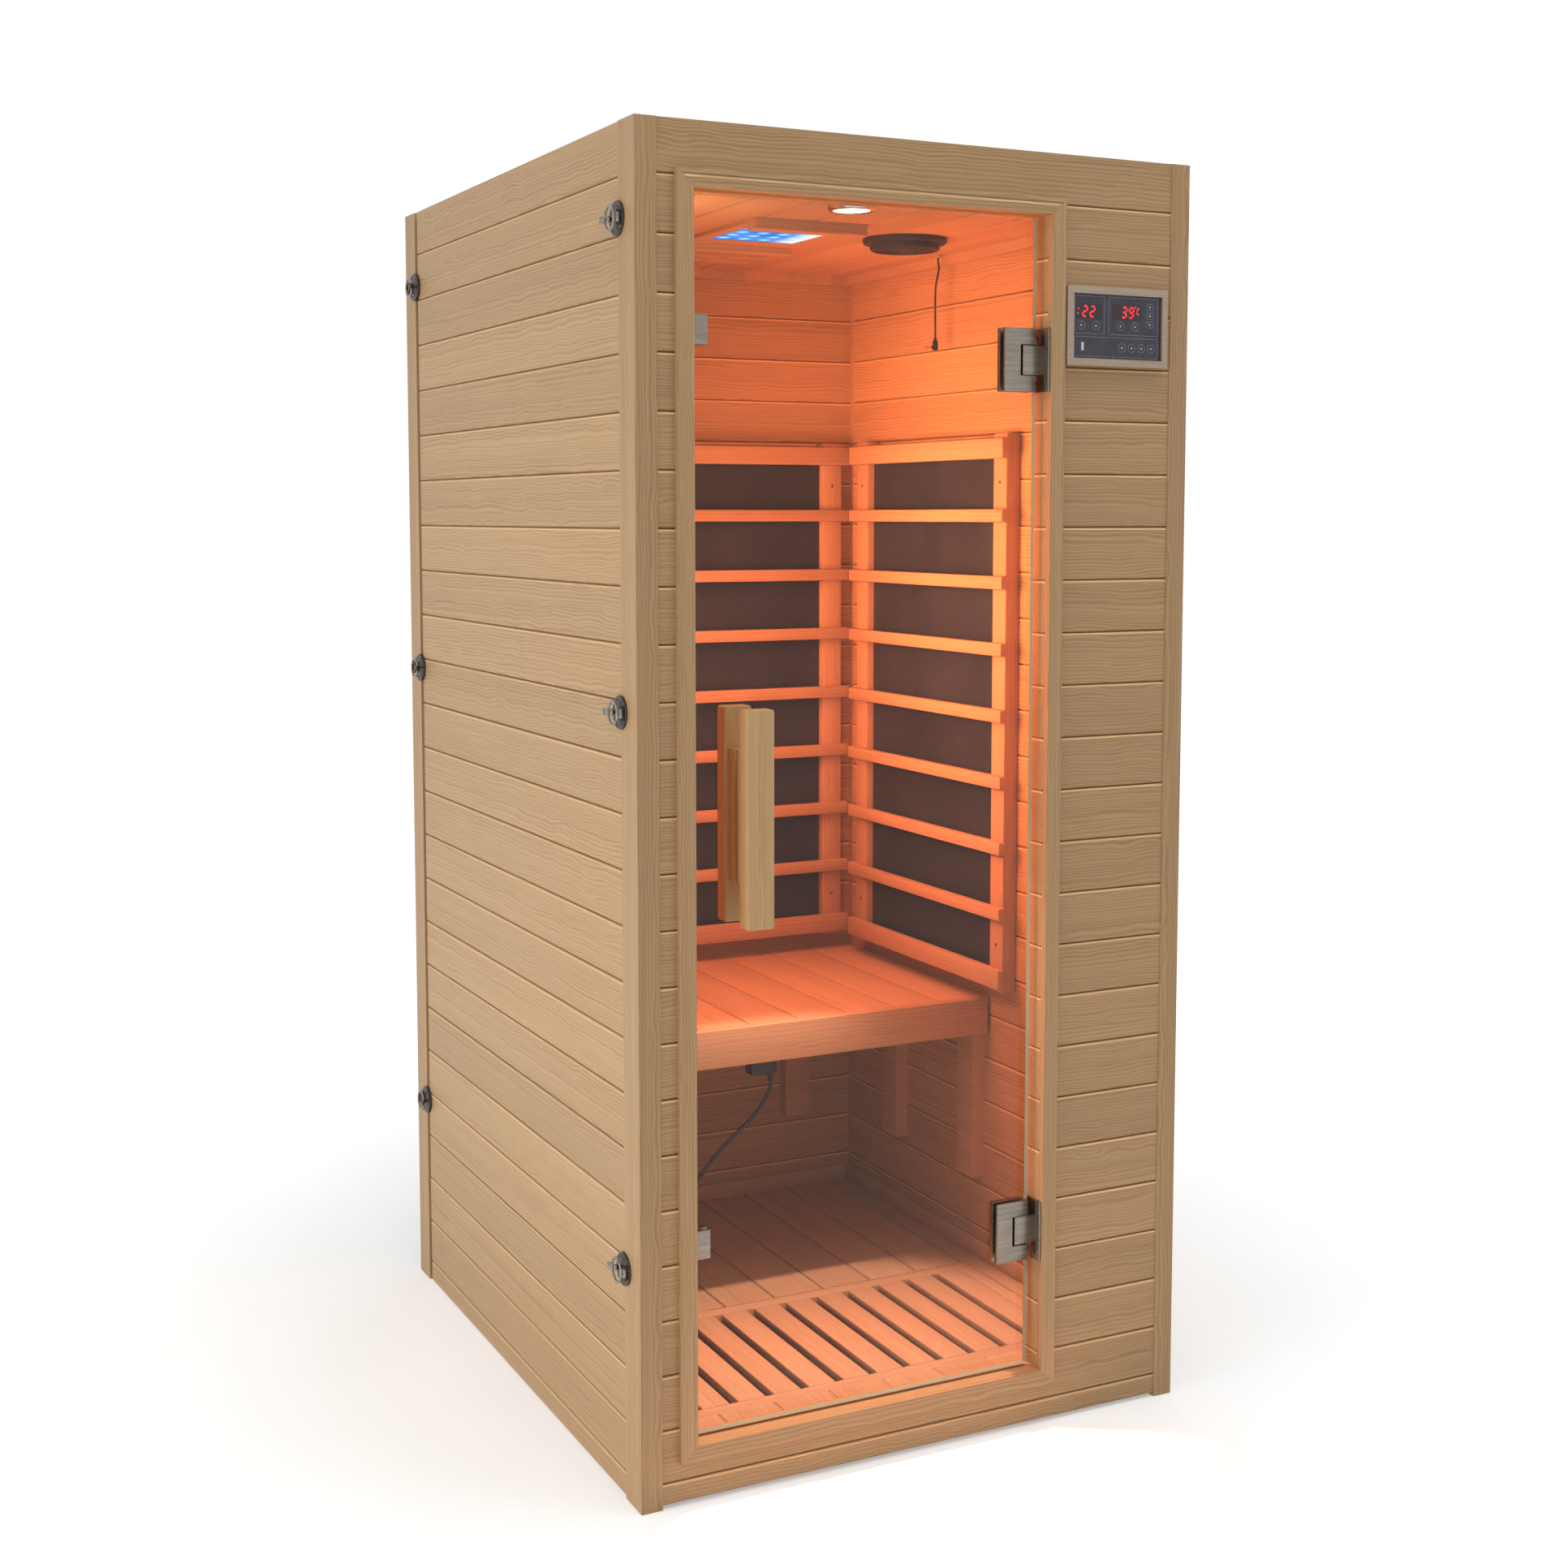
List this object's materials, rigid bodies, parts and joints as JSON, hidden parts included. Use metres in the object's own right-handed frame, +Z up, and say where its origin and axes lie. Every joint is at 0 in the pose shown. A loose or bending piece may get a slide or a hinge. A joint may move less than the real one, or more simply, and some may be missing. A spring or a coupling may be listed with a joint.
{
  "type": "infrared sauna cabin",
  "caption": "Upright infrared sauna cabin with boarded timber walls, a hinged glass door, a bench, slatted heater guards and draw latches at the wall joints.",
  "frame": {"origin": "on the ground, under the middle of the cabin shell", "axes": "+Z up, +Y from the door wall to the back wall, +X to the right seen from the door"},
  "size_m": [0.942, 1.077, 1.9],
  "materials": {
    "hemlock": "satin",
    "warm_hemlock": "satin",
    "clear_glass": "clear",
    "brushed_nickel": "brushed",
    "pewter": "antique",
    "champagne": "satin",
    "slate": "gloss",
    "carbon": "matte",
    "black_plastic": "satin",
    "blue_lens": "gloss"
  },
  "bodies": {
    "cabin": {"floor_base": "warm_hemlock", "roof_panel": "warm_hemlock", "back_wall": "hemlock", "left_wall": "hemlock", "right_wall": "hemlock", "front_left_panel": "hemlock", "front_right_panel": "hemlock", "front_header": "hemlock", "front_sill": "hemlock", "casing_left": "hemlock", "casing_right": "hemlock", "lower_hinge_jamb_plate": "brushed_nickel", "upper_hinge_jamb_plate": "brushed_nickel", "lower_magnet_catch": "black_plastic", "upper_magnet_catch": "black_plastic", "control_bezel": "champagne", "control_face": "slate", "bench_seat": "warm_hemlock", "bench_apron": "warm_hemlock", "bench_support_right": "warm_hemlock", "bench_support_left": "warm_hemlock", "bench_support_back": "warm_hemlock", "back_heater_guard": "warm_hemlock", "back_heater_element": "carbon", "left_heater_guard": "warm_hemlock", "left_heater_element": "carbon", "right_heater_guard": "warm_hemlock", "right_heater_element": "carbon", "floor_heater_grille": "warm_hemlock", "floor_heater_element": "carbon", "light_frame": "warm_hemlock", "light_panel": "blue_lens", "reading_lamp": "pewter", "speaker": "black_plastic", "aux_lead": "black_plastic", "aux_plug": "black_plastic", "heater_socket": "black_plastic", "heater_plug": "black_plastic", "heater_lead": "black_plastic", "floor_lead_gland": "black_plastic"},
    "door": {"door_glass": "clear_glass", "upper_hinge_clamp": "brushed_nickel", "lower_hinge_clamp": "brushed_nickel", "handle_outer": "hemlock", "handle_inner": "hemlock", "upper_strike_plate": "brushed_nickel", "lower_strike_plate": "brushed_nickel"},
    "vent": {"vent_slider": "warm_hemlock"},
    "latch_left_front_low": {"latch_left_front_low": "pewter"},
    "latch_left_front_mid": {"latch_left_front_mid": "pewter"},
    "latch_left_front_high": {"latch_left_front_high": "pewter"},
    "latch_left_rear_low": {"latch_left_rear_low": "pewter"},
    "latch_left_rear_mid": {"latch_left_rear_mid": "pewter"},
    "latch_left_rear_high": {"latch_left_rear_high": "pewter"},
    "latch_right_front_low": {"latch_right_front_low": "pewter"},
    "latch_right_front_mid": {"latch_right_front_mid": "pewter"},
    "latch_right_front_high": {"latch_right_front_high": "pewter"},
    "latch_right_rear_low": {"latch_right_rear_low": "pewter"},
    "latch_right_rear_mid": {"latch_right_rear_mid": "pewter"},
    "latch_right_rear_high": {"latch_right_rear_high": "pewter"}
  },
  "joints": [
    {"name": "door_hinge", "type": "hinge", "parent": "cabin", "child": "door", "pos_m": [0.182, -0.503, 0.952], "axis": [0, 0, 1], "range_deg": [0, 90]},
    {"name": "vent_slide", "type": "slide", "parent": "cabin", "child": "vent", "axis": [1, 0, 0], "range_m": [-0.1, 0]},
    {"name": "latch_left_front_low_hinge", "type": "hinge", "parent": "cabin", "child": "latch_left_front_low", "pos_m": [-0.457, -0.485, 0.332], "axis": [0, 0, 1], "range_deg": [0, 110]},
    {"name": "latch_left_front_mid_hinge", "type": "hinge", "parent": "cabin", "child": "latch_left_front_mid", "pos_m": [-0.457, -0.485, 1.11], "axis": [0, 0, 1], "range_deg": [0, 110]},
    {"name": "latch_left_front_high_hinge", "type": "hinge", "parent": "cabin", "child": "latch_left_front_high", "pos_m": [-0.457, -0.485, 1.772], "axis": [0, 0, 1], "range_deg": [0, 110]},
    {"name": "latch_left_rear_low_hinge", "type": "hinge", "parent": "cabin", "child": "latch_left_rear_low", "pos_m": [-0.457, 0.485, 0.332], "axis": [0, 0, -1], "range_deg": [0, 110]},
    {"name": "latch_left_rear_mid_hinge", "type": "hinge", "parent": "cabin", "child": "latch_left_rear_mid", "pos_m": [-0.457, 0.485, 1.11], "axis": [0, 0, -1], "range_deg": [0, 110]},
    {"name": "latch_left_rear_high_hinge", "type": "hinge", "parent": "cabin", "child": "latch_left_rear_high", "pos_m": [-0.457, 0.485, 1.772], "axis": [0, 0, -1], "range_deg": [0, 110]},
    {"name": "latch_right_front_low_hinge", "type": "hinge", "parent": "cabin", "child": "latch_right_front_low", "pos_m": [0.457, -0.485, 0.332], "axis": [0, 0, -1], "range_deg": [0, 110]},
    {"name": "latch_right_front_mid_hinge", "type": "hinge", "parent": "cabin", "child": "latch_right_front_mid", "pos_m": [0.457, -0.485, 1.11], "axis": [0, 0, -1], "range_deg": [0, 110]},
    {"name": "latch_right_front_high_hinge", "type": "hinge", "parent": "cabin", "child": "latch_right_front_high", "pos_m": [0.457, -0.485, 1.772], "axis": [0, 0, -1], "range_deg": [0, 110]},
    {"name": "latch_right_rear_low_hinge", "type": "hinge", "parent": "cabin", "child": "latch_right_rear_low", "pos_m": [0.457, 0.485, 0.332], "axis": [0, 0, 1], "range_deg": [0, 110]},
    {"name": "latch_right_rear_mid_hinge", "type": "hinge", "parent": "cabin", "child": "latch_right_rear_mid", "pos_m": [0.457, 0.485, 1.11], "axis": [0, 0, 1], "range_deg": [0, 110]},
    {"name": "latch_right_rear_high_hinge", "type": "hinge", "parent": "cabin", "child": "latch_right_rear_high", "pos_m": [0.457, 0.485, 1.772], "axis": [0, 0, 1], "range_deg": [0, 110]}
  ]
}
